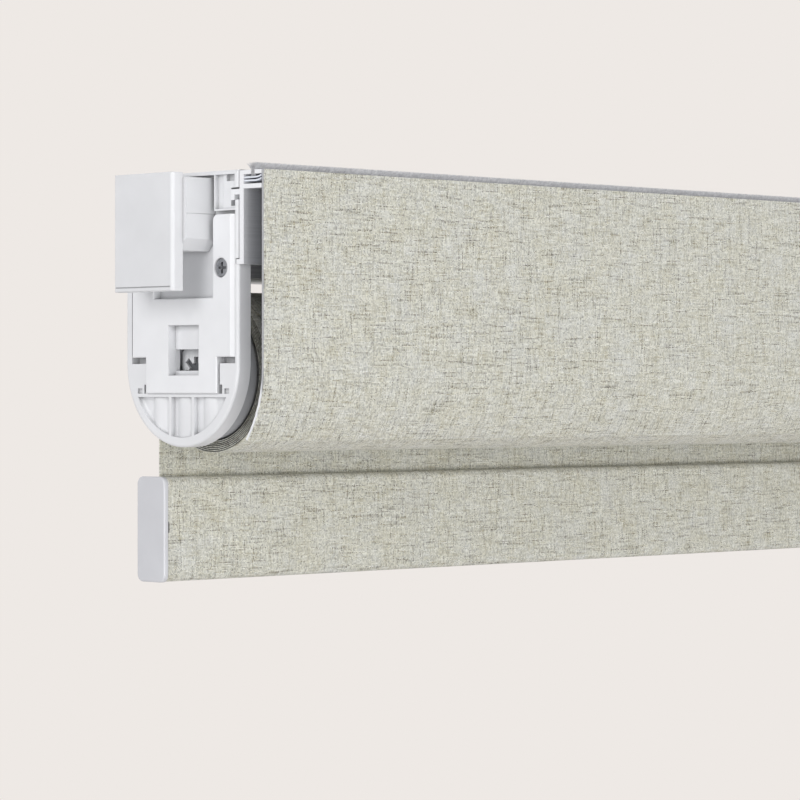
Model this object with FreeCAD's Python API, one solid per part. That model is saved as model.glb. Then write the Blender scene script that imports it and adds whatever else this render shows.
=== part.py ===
import FreeCAD, Part

import math
import os

# Roller shade in a fabric-covered cassette, rolled up, in millimetres.
# X runs along the shade, Y from the room to the wall, Z up. The origin is the middle of the mounting face,
# above the roller's axis. "inset" is a distance from the left end of the fascia towards the middle.

# Lengths along the shade
fascia_length = 600.0
cloth_inset = 14.1
hem_cap_inset = 10.0
hem_cap_plate = 1.8
shank_length = 40.0
spring_turns = 24
spring_pitch = 6.0

# Roller and cloth
roller_drop = 67.4
tube_radius = 22.3
tube_wall = 1.5
cloth_thickness = 0.5
roll_turns = 5
turn_gap = 0.47
roll_lift = 0.55

# Bracket
bracket_over_roll = 0.8
bracket_foot_rise = 3.6
rim_depth = 5.6
rim_wall_front = 1.6
rim_wall_rear = 3.0
web_front = 2.2
web_thickness = 2.0
top_wall = 1.4
rim_round = 0.9
pocket_height = 11.4
pocket_depth = 0.8
pocket_notch = 2.2
shelf_thickness = 0.6
foot_recess_depth = 1.8
foot_wall = 3.3
foot_rib = 1.3
foot_rib_offset = 5.8
foot_ridge_radius = 6.5
foot_ridge_height = 1.0

# Lock plate
plate_raise = 1.0
plate_gap = 1.2
notch_half_width = 15.0
notch_shift = -1.1
notch_floor = 42.2
wing_bottom = 62.0
clip_slot = 2.1
clip_floor = 0.8
tongue_half_width = 18.0
tongue_bottom = 74.2
ledge_thickness = 1.2
window_width = 15.3
window_height = 16.9
window_top = 51.2
window_shift = -0.4
spindle_opening_height = 7.2
spindle_opening_sill = 0.9
corner_round = 2.0
front_bevel = 1.3

# Side mount: square plate on a block that slides out of the bracket
mount_plate_thickness = 4.6
mount_plate_width = 29.6
mount_plate_height = 39.5
mount_plate_shift = 1.7
mount_plate_round = 1.3
mount_plate_edge = 0.5
mount_plate_groove = 0.35
mount_plate_groove_rise = 1.3
mount_plate_top = 0.7
mount_standoff = 10.8
block_half_width = 13.7
block_shift = 0.7
block_height = 24.4
block_top = 2.3
block_facet = 4.0
block_facet_in = 3.2
block_step = 2.0
seam_drop = 12.0
seam_size = 0.12
mount_travel = 10.0

# Head rail
rail_wall = 1.6
rail_over_roll = 4.0
rail_lip = 1.4
rail_hole_radius = 2.5
rail_hole_spacing = 400.0
port_wall = 1.6
port_inset = 3.6
screw_radius = 1.7
screw_head_radius = 3.2
screw_head_height = 1.6
screw_sink = 0.6
screw_length = 18.0
recess_width = 0.9
lock_screw_radius = 2.0
lock_screw_length = 8.0
lock_boss_radius = 4.0
lock_boss_height = 4.0

# Fascia
fascia_depth = 12.2
fascia_gap = 0.6
fascia_drop = 0.4
fascia_skin = 0.8
fascia_rear_wall = 2.0
fascia_rear_height = 31.0
fascia_top_wall = 1.4
fascia_web = 1.5
pile_slot_height = 3.2
pile_slot_opening = 1.8
pile_slot_place = 0.5
hook_arm = 1.8
hook_leg = 1.8
hook_leg_drop = 1.8
hook_room = 0.7
foot_length = 1.6
foot_height = 1.7
front_straight = 65.5
front_curve_radius = 41.0
front_height = 90.0

# Pile strip
pile_rise = 2.2
pile_fan = 3.2
pile_stem = 1.4
backing_thickness = 0.5
backing_curl = 0.6
backing_strips = 2

# Spindles, plugs and springs
spindle_radius = 4.0
spindle_overrun = 3.0
star_hub_radius = 3.6
star_tip_radius = 5.6
star_corner_radius = 6.3
star_lug_width = 2.1
star_recess = 1.0
star_lugs = 8
seat_gap = 2.4
seat_flat = 7.0
socket_radius = 10.0
socket_thickness = 4.4
peg_radius = 1.2
peg_depth = 1.4
collar_inset = 7.9
collar_rise = 0.1
spigot_length = 30.0
bush_wall = 2.4
bush_length = 12.0
groove_width = 4.4
groove_depth = 2.6
groove_mouth = 2.0
groove_wall = 1.5
torsion_wire = 2.0
torsion_mean_radius = 9.0
anchor_radius = 15.0
anchor_length = 12.0
pin_wire = 0.8
pin_spring_turns = 5
pin_spring_pitch = 2.2
pin_travel = 6.0

# Hem bar
hem_width = 14.4
hem_height = 36.4
hem_below_roll = 7.7
hem_corner = 2.7
hem_wall = 1.2
hem_cloth_step = 0.2
hem_mouth = 1.6
hem_channel_radius = 2.3
hem_spline_radius = 2.0
cap_spigot = 12.0
cap_round = 0.6
latch_place = 15.6
latch_width = 0.8
latch_height = 3.6

# Clearances
snug = 0.1
running = 0.05
easy = 0.3

# Places that follow from the sizes
V = FreeCAD.Vector
left_end = -fascia_length / 2
axis_z = -roller_drop
roll_inner = tube_radius + roll_lift
turn_pitch = cloth_thickness + turn_gap
roll_radius = roll_inner + roll_turns * turn_pitch
hanging_y = roll_radius - cloth_thickness / 2
bracket_half_width = roll_radius + bracket_over_roll
foot_centre_z = axis_z + bracket_foot_rise
web_back = web_front + web_thickness
seat_front = web_back + seat_gap
seat_back = seat_front + socket_thickness
bush_start = seat_back + 2 * easy
pin_inset = seat_front + 2 * easy
recess_front = rim_wall_front - bracket_half_width
recess_rear = bracket_half_width - rim_wall_rear
plate_centre = (recess_front + recess_rear) / 2
plate_half_width = (recess_rear - recess_front) / 2 - plate_gap
notch_centre = plate_centre + notch_shift
block_centre = notch_centre + block_shift
pocket_floor = -top_wall - pocket_height
plate_top = pocket_floor - shelf_thickness - plate_gap
rail_front = recess_front + easy + hook_leg + easy
rail_rear = 2 * plate_centre - rail_front
rail_depth = roller_drop - roll_radius - rail_over_roll
port_radius = screw_radius + running + port_wall
port_z = -rail_depth + port_radius
port_places = (rail_front + port_inset, rail_rear - port_inset)
rear_wall_y = -(bracket_half_width + fascia_gap)
fascia_front = rear_wall_y - fascia_depth
skin_front = fascia_front + cloth_thickness
skin_back = skin_front + fascia_skin
block_bottom = -block_top - block_height
shank_half_width = block_half_width - block_step
shank_top = -block_top - block_step
shank_bottom = block_bottom + block_step
hem_top = axis_z - roll_radius - hem_below_roll
hem_bottom = hem_top - hem_height
hook_arm_top = -fascia_drop - fascia_top_wall - pile_slot_height - fascia_web
foot_top = -fascia_drop - fascia_rear_height + foot_height


def slab(inset, end, y0, y1, z0, z1):
    """Box between two insets from the left end, two Y values and two Z values, given in any order."""
    low = V(left_end + inset, min(y0, y1), min(z0, z1))
    return Part.makeBox(end - inset, abs(y1 - y0), abs(z1 - z0), low)


def rod(inset, end, radius, y=0.0, z=None):
    """Round bar along the shade, on the roller's axis unless it says where."""
    place = V(left_end + inset, y, axis_z if z is None else z)
    return Part.makeCylinder(radius, end - inset, place, V(1, 0, 0))


def section(start, *steps):
    """Flat face across the shade. A step is a corner (y, z) or an arc, as a point on it and its end."""
    edges = []
    here = V(0, *start)
    for step in steps:
        if isinstance(step[0], tuple):
            there = V(0, *step[1])
            edges.append(Part.Arc(here, V(0, *step[0]), there).toShape())
        else:
            there = V(0, *step)
            edges.append(Part.LineSegment(here, there).toShape())
        here = there
    edges.append(Part.LineSegment(here, V(0, *start)).toShape())
    return Part.Face(Part.Wire(edges))


def rectangle(front, back, top, bottom):
    """Flat rectangle across the shade."""
    return section((front, top), (front, bottom), (back, bottom), (back, top))


def along(face, inset, end):
    """The face drawn out along the shade between two insets."""
    length = end - inset
    return face.translated(V(left_end + inset, 0, 0)).extrude(V(length, 0, 0))


def full_length(face, inset):
    """The face drawn out over the whole shade, stopping the same inset short of both ends."""
    return along(face, inset, fascia_length - inset)


def rounded_box(inset, end, y0, y1, z0, z1, radius):
    """Bar along the shade with its four long edges rounded."""
    bar = slab(inset, end, y0, y1, z0, z1)
    long_edges = [e for e in bar.Edges if abs(e.Length - (end - inset)) < 1e-6 and is_along_x(e)]
    return bar.makeFillet(radius, long_edges)


def is_along_x(edge):
    """True for a straight edge that runs along the shade."""
    first, last = edge.Vertexes[0].Point, edge.Vertexes[-1].Point
    return abs(first.y - last.y) < 1e-6 and abs(first.z - last.z) < 1e-6


def edges_at(shape, inset):
    """The edges that lie wholly in the plane across the shade at that inset."""
    x = left_end + inset
    return [e for e in shape.Edges if e.BoundBox.XMin > x - 1e-4 and e.BoundBox.XMax < x + 1e-4]


def opposite(shape):
    """The same piece for the right end, as its mirror image."""
    return shape.mirror(V(0, 0, 0), V(1, 0, 0))


# End bracket: a moulded U with a rim, a web set back inside it, and pockets

def u_face(half_width_front, half_width_rear, top, radius):
    """U outline of a bracket: straight sides, round foot."""
    side = foot_centre_z
    return section(
        (-half_width_front, top),
        (-radius, side),
        ((0.0, side - radius), (radius, side)),
        (half_width_rear, top),
    )


def foot_recess():
    """Hollow in the round foot, split by two ribs, with a soft ridge standing in each part."""
    radius = bracket_half_width - foot_wall
    top = -tongue_bottom - ledge_thickness
    half = math.sqrt(radius**2 - (foot_centre_z - top) ** 2)
    face = section((-half, top), ((0.0, foot_centre_z - radius), (half, top)))
    hollow = along(face, -1.0, foot_recess_depth)
    hollow = hollow.makeFillet(foot_recess_depth / 2, edges_at(hollow, foot_recess_depth))
    for y in (-foot_rib_offset, foot_rib_offset):
        half_rib = foot_rib / 2
        hollow = hollow.cut(slab(0, rim_depth, y - half_rib, y + half_rib, top, foot_centre_z - radius))
    for y in (-2.2 * foot_rib_offset, 0.0, 2.2 * foot_rib_offset):
        behind = foot_recess_depth + foot_ridge_radius - foot_ridge_height
        start = V(left_end + behind, y, foot_centre_z - radius)
        hollow = hollow.cut(Part.makeCylinder(foot_ridge_radius, radius, start, V(0, 0, 1)))
    return hollow


def shank_opening(inset, end):
    """Opening that the side block's shank passes through with an easy fit."""
    half = shank_half_width + easy
    return slab(inset, end, block_centre - half, block_centre + half, shank_top + easy, shank_bottom - easy)


def end_bracket():
    """Left end bracket."""
    out = -plate_raise
    through = rim_depth + 1.0
    bracket = along(u_face(bracket_half_width, bracket_half_width, 0.0, bracket_half_width), 0, rim_depth)
    bracket = bracket.makeFillet(rim_round, edges_at(bracket, 0))
    back_wall = bracket_half_width - rim_wall_front
    bracket = bracket.cut(along(u_face(back_wall, back_wall, 1.0, back_wall), web_back, through))

    # Seat of the lock plate: wide at the wings, narrow at the tongue, with a slot each side of its end
    channel = tongue_half_width + plate_gap / 2
    wing_seat = -wing_bottom - clip_slot
    bracket = bracket.cut(
        slab(out, web_front, recess_front, recess_rear, plate_top + plate_gap, wing_seat)
    )
    bracket = bracket.cut(
        slab(out, web_front, plate_centre - channel, plate_centre + channel, wing_seat, -tongue_bottom)
    )
    slot = channel + plate_gap
    slot_top = -tongue_bottom + 3.0
    bracket = bracket.cut(
        slab(out, web_front, plate_centre - slot, plate_centre + slot, slot_top, -tongue_bottom)
    )
    for side in (-1, 1):
        y = plate_centre + side * (slot + 2.2)
        notch_top = -tongue_bottom + 1.7
        bracket = bracket.cut(slab(out, pocket_depth, y - 1.2, y + 1.2, -tongue_bottom, notch_top))
        edge = recess_front if side < 0 else recess_rear
        inner = plate_centre + side * (tongue_half_width + easy)
        bracket = bracket.cut(slab(out, web_back - clip_floor, inner, edge, -wing_bottom, wing_seat))

    # Bay that the side block stands in, and a shallow pocket each side of it above the lock plate
    bay_front = notch_centre - notch_half_width + easy
    bay_rear = notch_centre + notch_half_width - easy
    bracket = bracket.cut(slab(out, web_front, bay_front, bay_rear, -top_wall, plate_top + plate_gap))
    divider = 0.6
    for near, far in ((bay_front - divider, recess_front + easy), (bay_rear + divider, recess_rear)):
        step = near + (far - near) / 3
        bracket = bracket.cut(slab(out, pocket_depth, near, far, -top_wall, pocket_floor))
        bracket = bracket.cut(slab(out, 1.8 * pocket_depth, near, step, -top_wall, pocket_floor))
        notch = (near + far) / 2
        bracket = bracket.cut(slab(out, web_front, notch, far, -top_wall, -top_wall - pocket_notch))
    bracket = bracket.cut(foot_recess())

    # Openings through the web: side block, spindle window, screws and the star seat's pegs
    bracket = bracket.cut(shank_opening(web_front - 0.5, through))
    sill = axis_z + spindle_opening_sill
    front, rear = window_sides()
    bracket = bracket.cut(slab(out, through, front, rear, sill, sill + spindle_opening_height))
    for y in port_places:
        bracket = bracket.cut(rod(out, through, screw_radius + easy, y, port_z))
    for y in peg_places():
        bracket = bracket.cut(rod(web_back - peg_depth, through, peg_radius + running, y, peg_z()))

    # Pocket behind the front rim for the fascia's hook, and a notch lower down that its foot stands in
    leg_back = recess_front + easy + hook_leg + hook_room
    arm_bottom = hook_arm_top - hook_arm
    outside = -bracket_half_width - 1.0
    lip_top = arm_bottom - hook_leg_drop + snug
    bracket = bracket.cut(slab(out, through, outside, leg_back, hook_arm_top + 2 * easy, lip_top))
    bracket = bracket.cut(
        slab(out, through, recess_front, leg_back, hook_arm_top + 2 * easy, pocket_floor + hook_leg / 2)
    )
    notch_back = rear_wall_y + foot_length + easy
    return bracket.cut(
        slab(out, through, outside, notch_back, foot_top + easy, foot_top - foot_height)
    )


def window_sides():
    """Front and rear Y of the spindle window in the lock plate and the bracket."""
    middle = notch_centre + window_shift
    return middle - window_width / 2, middle + window_width / 2


def peg_places():
    """Y of the two pegs that fix a spindle seat to the bracket's web."""
    return (-0.36 * socket_radius, 0.36 * socket_radius)


def peg_z():
    """Height of those pegs, below the spindle window."""
    return axis_z - 0.72 * socket_radius


# Lock plate: U-notched plate that stands 1 mm out of the bracket and traps the spindle's seat

def edge_wedge(edge):
    """Wedge to cut off a lock plate, for the slope along its room-side edge."""
    corner = V(left_end - plate_raise - 1.0, edge - 1.0, -wing_bottom - 1.0)
    leg = front_bevel + 2.0
    triangle = Part.makePolygon([corner, corner + V(0, leg, 0), corner + V(leg, 0, 0), corner])
    return Part.Face(triangle).extrude(V(0, 0, plate_top + 1.0 - corner.z))


def lock_plate():
    """Left lock plate, on the web, notched round the side block and sloped along its room-side edge."""
    low, high = recess_front + snug, plate_centre + plate_half_width
    notch_low, notch_high = notch_centre - notch_half_width, notch_centre + notch_half_width
    r = corner_round
    bend = r * (1 - math.sqrt(0.5))
    face = section(
        (low, plate_top),
        (low, -wing_bottom),
        (plate_centre - tongue_half_width, -wing_bottom),
        (plate_centre - tongue_half_width, -tongue_bottom),
        (plate_centre + tongue_half_width, -tongue_bottom),
        (plate_centre + tongue_half_width, -wing_bottom),
        (high, -wing_bottom),
        (high, plate_top),
        (notch_high + r, plate_top),
        ((notch_high + bend, plate_top - bend), (notch_high, plate_top - r)),
        (notch_high, -notch_floor),
        (notch_low, -notch_floor),
        (notch_low, plate_top - r),
        ((notch_low - bend, plate_top - bend), (notch_low - r, plate_top)),
    )
    plate = along(face, -plate_raise, web_front)
    plate = plate.makeChamfer(easy, edges_at(plate, -plate_raise))
    plate = plate.cut(edge_wedge(low))
    front, rear = window_sides()
    window_bottom = -window_top - window_height
    plate = plate.cut(slab(-2 * plate_raise, rim_depth, front, rear, -window_top, window_bottom))
    for y in port_places:
        seat = screw_sink + screw_head_height - plate_raise
        plate = plate.cut(rod(-2 * plate_raise, seat, screw_head_radius + snug, y, port_z))
        plate = plate.cut(rod(seat, rim_depth, screw_radius + easy, y, port_z))
    return plate


# Side mount: square plate against the side of the recess, on a block whose shank slides in a sleeve

def block_bar(inset, end, step):
    """Bar with the block's outline, its two lower corners cut off, smaller by a step all round."""
    half = block_half_width - step
    low = block_bottom + step
    facet = block_facet - step / 2
    flat = half - block_facet_in + step / 2
    outline = section(
        (block_centre - half, -block_top - step),
        (block_centre - half, low + facet),
        (block_centre - flat, low),
        (block_centre + flat, low),
        (block_centre + half, low + facet),
        (block_centre + half, -block_top - step),
    )
    return along(outline, inset, end)


def side_block():
    """Left block: a head that stops on the bracket's web, with a seam on each side, and a smaller shank."""
    head_end = web_front - snug
    head = block_bar(-mount_standoff, head_end, 0.0)
    seam_z = -block_top - seam_drop
    for side in (-1, 1):
        face_y = block_centre + side * block_half_width
        inner_y = face_y - side * seam_size
        head = head.cut(slab(-mount_standoff, head_end, inner_y, face_y, seam_z, seam_z - seam_size))
    return head.fuse(block_bar(head_end, web_front + shank_length, block_step)).removeSplitter()


def mount_plate():
    """Left square plate, rounded most along its room side, with a fine groove above its lower edge."""
    low = mount_plate_shift - mount_plate_width / 2
    outer = -mount_standoff - mount_plate_thickness
    high = low + mount_plate_width
    plate = slab(outer, -mount_standoff, low, high, -mount_plate_top, -mount_plate_top - mount_plate_height)
    room_side = [e for e in edges_at(plate, outer) if e.BoundBox.YMax < low + 0.1]
    plate = plate.makeFillet(mount_plate_round, room_side)
    others = [e for e in edges_at(plate, outer) if e.BoundBox.YMax > low + 1.1 * mount_plate_round]
    plate = plate.makeFillet(mount_plate_edge, others)
    groove = mount_plate_groove
    top = mount_plate_groove_rise + groove - mount_plate_top - mount_plate_height
    return plate.cut(slab(outer - 1, outer + groove, low + mount_plate_round, high + 1, top, top - groove))


def guide_sleeve():
    """Left sleeve in the head rail's end, with two flanges that centre it and a boss for the lock screw."""
    wall = rail_wall + snug
    half = shank_half_width + easy + wall
    low, high = block_centre - half, block_centre + half
    end = web_front + shank_length + mount_travel
    front, rear = rail_front + rail_wall + snug, rail_rear - rail_wall - snug
    flange_bottom = port_z + port_radius + easy
    sleeve = slab(web_back + snug, end, low, high, -wall, shank_bottom - easy - wall)
    for inset in (web_back + snug, end - wall):
        sleeve = sleeve.fuse(slab(inset, inset + wall, front, rear, -wall, flange_bottom))
    boss_top = V(left_end + shank_length / 2, block_centre, shank_bottom - easy - wall)
    sleeve = sleeve.fuse(Part.makeCylinder(lock_boss_radius, lock_boss_height, boss_top, V(0, 0, -1)))
    sleeve = sleeve.cut(shank_opening(0, end + 1.0))
    hole_top = boss_top + V(0, 0, 2 * wall)
    depth = 2 * wall + lock_boss_height + 1.0
    hole = Part.makeCylinder(lock_screw_radius + running, depth, hole_top, V(0, 0, -1))
    return sleeve.cut(hole).removeSplitter()


def lock_screw():
    """Left socket set screw in the sleeve's boss, its tip just clear of the shank."""
    tip = V(left_end + shank_length / 2, block_centre, shank_bottom - easy)
    screw = Part.makeCylinder(lock_screw_radius, lock_screw_length, tip, V(0, 0, -1))
    foot = tip + V(0, 0, -lock_screw_length)
    return screw.cut(Part.makeCylinder(0.55 * lock_screw_radius, lock_screw_radius, foot, V(0, 0, 1)))


# Head rail: inverted channel between the brackets, with a lip and an open screw port along each lower edge

def head_rail():
    """Extruded rail with the two holes that fasten the shade from above."""
    start = web_back + snug
    end = fascia_length - start
    front, rear = rail_front + rail_wall, rail_rear - rail_wall
    rail = slab(start, end, rail_front, rail_rear, 0, -rail_depth)
    rail = rail.cut(slab(start - 1, end + 1, front, rear, -rail_wall, -rail_depth - 1))
    for wall_y, y in zip((rail_front, rail_rear), port_places):
        lip = slab(start, end, wall_y, y, -rail_depth, -rail_depth + rail_lip)
        rail = rail.fuse(lip).fuse(rod(start, end, port_radius, y, port_z))
    for y in port_places:
        rail = rail.cut(rod(0, fascia_length, screw_radius + running, y, port_z))
        slot = screw_radius / 2
        rail = rail.cut(slab(0, fascia_length, y - slot, y + slot, port_z, port_z + port_radius + 1))
    for x in (-rail_hole_spacing / 2, rail_hole_spacing / 2):
        below = V(x, 0, -2 * rail_wall)
        rail = rail.cut(Part.makeCylinder(rail_hole_radius, 4 * rail_wall, below, V(0, 0, 1)))
    return rail.removeSplitter()


def rail_screw(y):
    """Left pan-head screw with a cross recess, through plate and web into a rail port."""
    top = screw_sink - plate_raise
    head_end = top + screw_head_height
    head = rod(top, head_end, screw_head_radius, y, port_z)
    head = head.makeFillet(screw_head_height / 4, edges_at(head, top))
    screw = head.fuse(rod(head_end, screw_length, screw_radius, y, port_z))
    arm = 0.6 * screw_head_radius
    half = recess_width / 2
    depth = top + screw_head_height / 2
    screw = screw.cut(slab(top - 1.0, depth, y - arm, y + arm, port_z - half, port_z + half))
    return screw.cut(slab(top - 1.0, depth, y - half, y + half, port_z - arm, port_z + arm))


# Fascia: extrusion that hooks over the brackets, its cloth, and the pile strip in its top slot

def front_sheet(near, far):
    """Section of one layer of the front, between two distances behind the cloth's face."""
    sweep = math.asin((front_height - front_straight) / front_curve_radius)
    centre_y = fascia_front + front_curve_radius

    def on_curve(offset, share):
        radius = front_curve_radius - offset
        turn = sweep * share
        return (centre_y - radius * math.cos(turn), -front_straight - radius * math.sin(turn))

    return section(
        (fascia_front + near, -fascia_drop),
        (fascia_front + near, -front_straight),
        (on_curve(near, 0.5), on_curve(near, 1.0)),
        on_curve(far, 1.0),
        (on_curve(far, 0.5), (fascia_front + far, -front_straight)),
        (fascia_front + far, -fascia_drop),
    )


def fascia_profile():
    """Aluminium section: front skin, top slot, rear wall with hook and foot."""
    slot_top = -fascia_drop - fascia_top_wall
    slot_bottom = slot_top - pile_slot_height
    rear_front = rear_wall_y - fascia_rear_wall
    bottom = -fascia_drop - fascia_rear_height
    leg_front = recess_front + easy
    arm_bottom = hook_arm_top - hook_arm
    pieces = [
        front_sheet(cloth_thickness, cloth_thickness + fascia_skin),
        rectangle(skin_back, rear_wall_y, -fascia_drop, slot_top),
        rectangle(skin_back, rear_wall_y, slot_bottom, hook_arm_top),
        rectangle(rear_front, rear_wall_y, -fascia_drop, bottom),
        rectangle(rear_wall_y, rear_wall_y + foot_length, foot_top, foot_top - foot_height),
        section(
            (rear_wall_y, hook_arm_top),
            (rear_wall_y, arm_bottom),
            (leg_front, arm_bottom),
            (leg_front, arm_bottom - hook_leg_drop),
            (leg_front + hook_leg, arm_bottom - hook_leg_drop),
            (leg_front + hook_leg, hook_arm_top),
        ),
    ]
    whole = pieces[0].fuse(pieces[1:]).removeSplitter()
    low, high = pile_opening()
    return full_length(whole.cut(rectangle(low, high, 1.0, slot_top - 0.5)).Faces[0], 0)


def pile_opening():
    """Front and rear edge of the opening in the fascia's top."""
    middle = skin_back + pile_slot_place * (rear_wall_y - fascia_rear_wall - skin_back)
    return middle - pile_slot_opening / 2, middle + pile_slot_opening / 2


def fascia_cloth():
    """Cloth bonded to the whole front of the fascia."""
    return full_length(front_sheet(0.0, cloth_thickness), 0)


def backing_bottom(number):
    """Height of the underside of a backing strip, counted from the lowest."""
    floor = -fascia_drop - fascia_top_wall - pile_slot_height
    return floor + (number + 1) * pile_slot_height / (backing_strips + 1) - backing_thickness / 2


def pile_backing():
    """Backing strips of the pile, one over another in the top slot, their front edges curled up."""
    front = skin_back + easy
    rear = rear_wall_y - fascia_rear_wall - easy
    bend = front + (rear - front) / 3
    middle = (front + bend) / 2
    strips = []
    for number in range(backing_strips):
        low = backing_bottom(number)
        high = low + backing_thickness
        curl = backing_curl
        strips.append(
            full_length(
                section(
                    (rear, low),
                    (bend, low),
                    ((middle, low + curl / 4), (front, low + curl)),
                    (front, high + curl),
                    ((middle, high + curl / 4), (bend, high)),
                    (rear, high),
                ),
                0,
            )
        )
    return Part.makeCompound(strips)


def pile_strip():
    """Pile: a stem through the opening that fans out above the fascia."""
    low, high = pile_opening()
    middle = (low + high) / 2
    stem = pile_stem / 2
    top_strip = backing_bottom(backing_strips - 1) + backing_thickness + snug
    face = section(
        (middle - stem, top_strip),
        (middle - stem, -fascia_drop + snug),
        (middle - pile_fan, pile_rise - fascia_drop),
        ((middle, pile_rise), (middle + pile_fan, pile_rise - fascia_drop)),
        (middle + stem, -fascia_drop + snug),
        (middle + stem, top_strip),
    )
    return full_length(face, 0)


# Roller: tube with a keyed groove, wound cloth, plugs and bushes

def groove(width, depth, inset, end):
    """Bar under the tube's groove, towards the room, from the tube's outside inwards."""
    return slab(inset, end, -tube_radius - 1.0, depth - tube_radius, axis_z - width / 2, axis_z + width / 2)


def groove_body(inset, end, clearance):
    """Outer shape of the groove's channel inside the tube, as a bar along the shade."""
    width = groove_width + 2 * groove_wall + 2 * clearance
    depth = tube_wall + groove_depth + groove_wall + clearance
    return groove(width, depth, inset, end)


def roller_tube():
    """Extruded tube with a groove for the cloth's spline."""
    end = fascia_length - cloth_inset
    inner = tube_radius - tube_wall
    tube = rod(cloth_inset, end, tube_radius).cut(rod(0, fascia_length, inner))
    body = groove_body(cloth_inset, end, 0.0).common(rod(cloth_inset, end, tube_radius))
    tube = tube.fuse(body).removeSplitter()
    pocket_back = tube_wall + groove_depth - tube_radius
    half = groove_width / 2
    pocket = slab(0, fascia_length, tube_wall - tube_radius, pocket_back, axis_z - half, axis_z + half)
    return tube.cut(pocket).cut(groove(groove_mouth, tube_wall + 0.5, 0, fascia_length))


def cloth_spline():
    """Flat spline that keys the cloth into the tube's groove."""
    half = groove_width / 2 - easy
    front = tube_wall - tube_radius + easy
    back = tube_wall + groove_depth - tube_radius - snug
    return slab(cloth_inset, fascia_length - cloth_inset, front, back, axis_z - half, axis_z + half)


def winding_point(turn, offset):
    """Point of the wound cloth that many half turns from its outer end, an offset from its middle."""
    side = 1 if turn % 2 == 0 else -1
    radius = roll_radius - cloth_thickness / 2 - turn * turn_pitch / 2 + offset
    return (side * radius, axis_z)


def winding_top(turn, offset):
    """Point at the middle of that half turn: over the roll for an even one, under it for an odd one."""
    side = 1 if turn % 2 == 0 else -1
    centre = side * turn_pitch / 4
    radius = roll_radius - cloth_thickness / 2 - (2 * turn + 1) * turn_pitch / 4 + offset
    return (centre, axis_z + side * radius)


def fabric_roll():
    """Cloth wound on the tube as one spiral that leaves the roll at the back, drawn in half turns."""
    half = cloth_thickness / 2
    halves = 2 * roll_turns
    outside = [(winding_top(n, half), winding_point(n + 1, half)) for n in range(halves)]
    inside = [(winding_top(n, -half), winding_point(n, -half)) for n in reversed(range(halves))]
    start = winding_point(0, half)
    face = section(start, *outside, winding_point(halves, -half), *inside)
    return full_length(face, cloth_inset)


def least_roll_gap():
    """Smallest distance between one layer of the roll and the next, measured on points of both."""
    half = cloth_thickness / 2
    gaps = []
    for n in range(2 * roll_turns - 2):
        for place in (winding_point, winding_top):
            inner_face, outer_face = V(0, *place(n, -half)), V(0, *place(n + 2, half))
            gaps.append(inner_face.distanceToPoint(outer_face))
    return min(gaps)


def tube_plug(bore_end):
    """Left plug: collar beside the roll, notched spigot in the tube, bore for the bush."""
    inner = tube_radius - tube_wall - snug
    end = cloth_inset + spigot_length
    plug = rod(collar_inset, cloth_inset - snug, tube_radius + collar_rise)
    plug = plug.cut(rod(collar_inset - 1.0, bush_start, socket_radius + 2.0))
    spigot = rod(cloth_inset - snug, end, inner).cut(groove_body(0, end + 1.0, snug))
    plug = plug.fuse(spigot).removeSplitter()
    bush_seat = spindle_radius + running + bush_wall
    plug = plug.cut(rod(0, bush_start + bush_length, bush_seat))
    return plug.cut(rod(0, bore_end, spindle_radius + easy))


def plug_bush():
    """Left bearing bush between a plug and the spindle or pin that it turns on."""
    end = bush_start + bush_length
    inner = spindle_radius + running
    bush = rod(bush_start, end, inner + bush_wall - snug / 2)
    return bush.cut(rod(bush_start - 1.0, end + 1.0, inner))


# Spindles and their seats: star-ended shaft on the left, spring-loaded pin on the right

def star(inset, end, clearance):
    """Eight-lugged bar on the roller's axis, every other pair of lugs a little longer."""
    bar = rod(inset, end, star_hub_radius + clearance)
    half = star_lug_width / 2 + clearance
    for n in range(star_lugs // 2):
        reach = (star_tip_radius, star_corner_radius)[n % 2] + clearance
        lugs = slab(inset, end, -reach, reach, axis_z - half, axis_z + half)
        lugs.rotate(V(0, 0, axis_z), V(1, 0, 0), 360.0 / star_lugs * n)
        bar = bar.fuse(lugs)
    return bar.removeSplitter()


def spindle_seat(hole):
    """Round seat with two flats, on pegs behind a bracket's web, with a hole of the given shape in it."""
    disc = rod(seat_front, seat_back, socket_radius)
    low, high = axis_z - socket_radius - 1.0, axis_z + socket_radius + 1.0
    seat = disc.common(slab(seat_front, seat_back, -seat_flat, seat_flat, low, high))
    for y in peg_places():
        seat = seat.fuse(rod(web_back - peg_depth + snug, seat_front, peg_radius, y, peg_z()))
    return seat.cut(hole)


def spring_shaft():
    """Shaft that doesn't turn: star end in the left bracket, round shank through the plug to the anchor."""
    end = anchor_inset() + anchor_length + spindle_overrun
    lugs = star(seat_front + star_recess, seat_back, 0.0)
    return lugs.fuse(rod(seat_back, end, spindle_radius)).removeSplitter()


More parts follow.
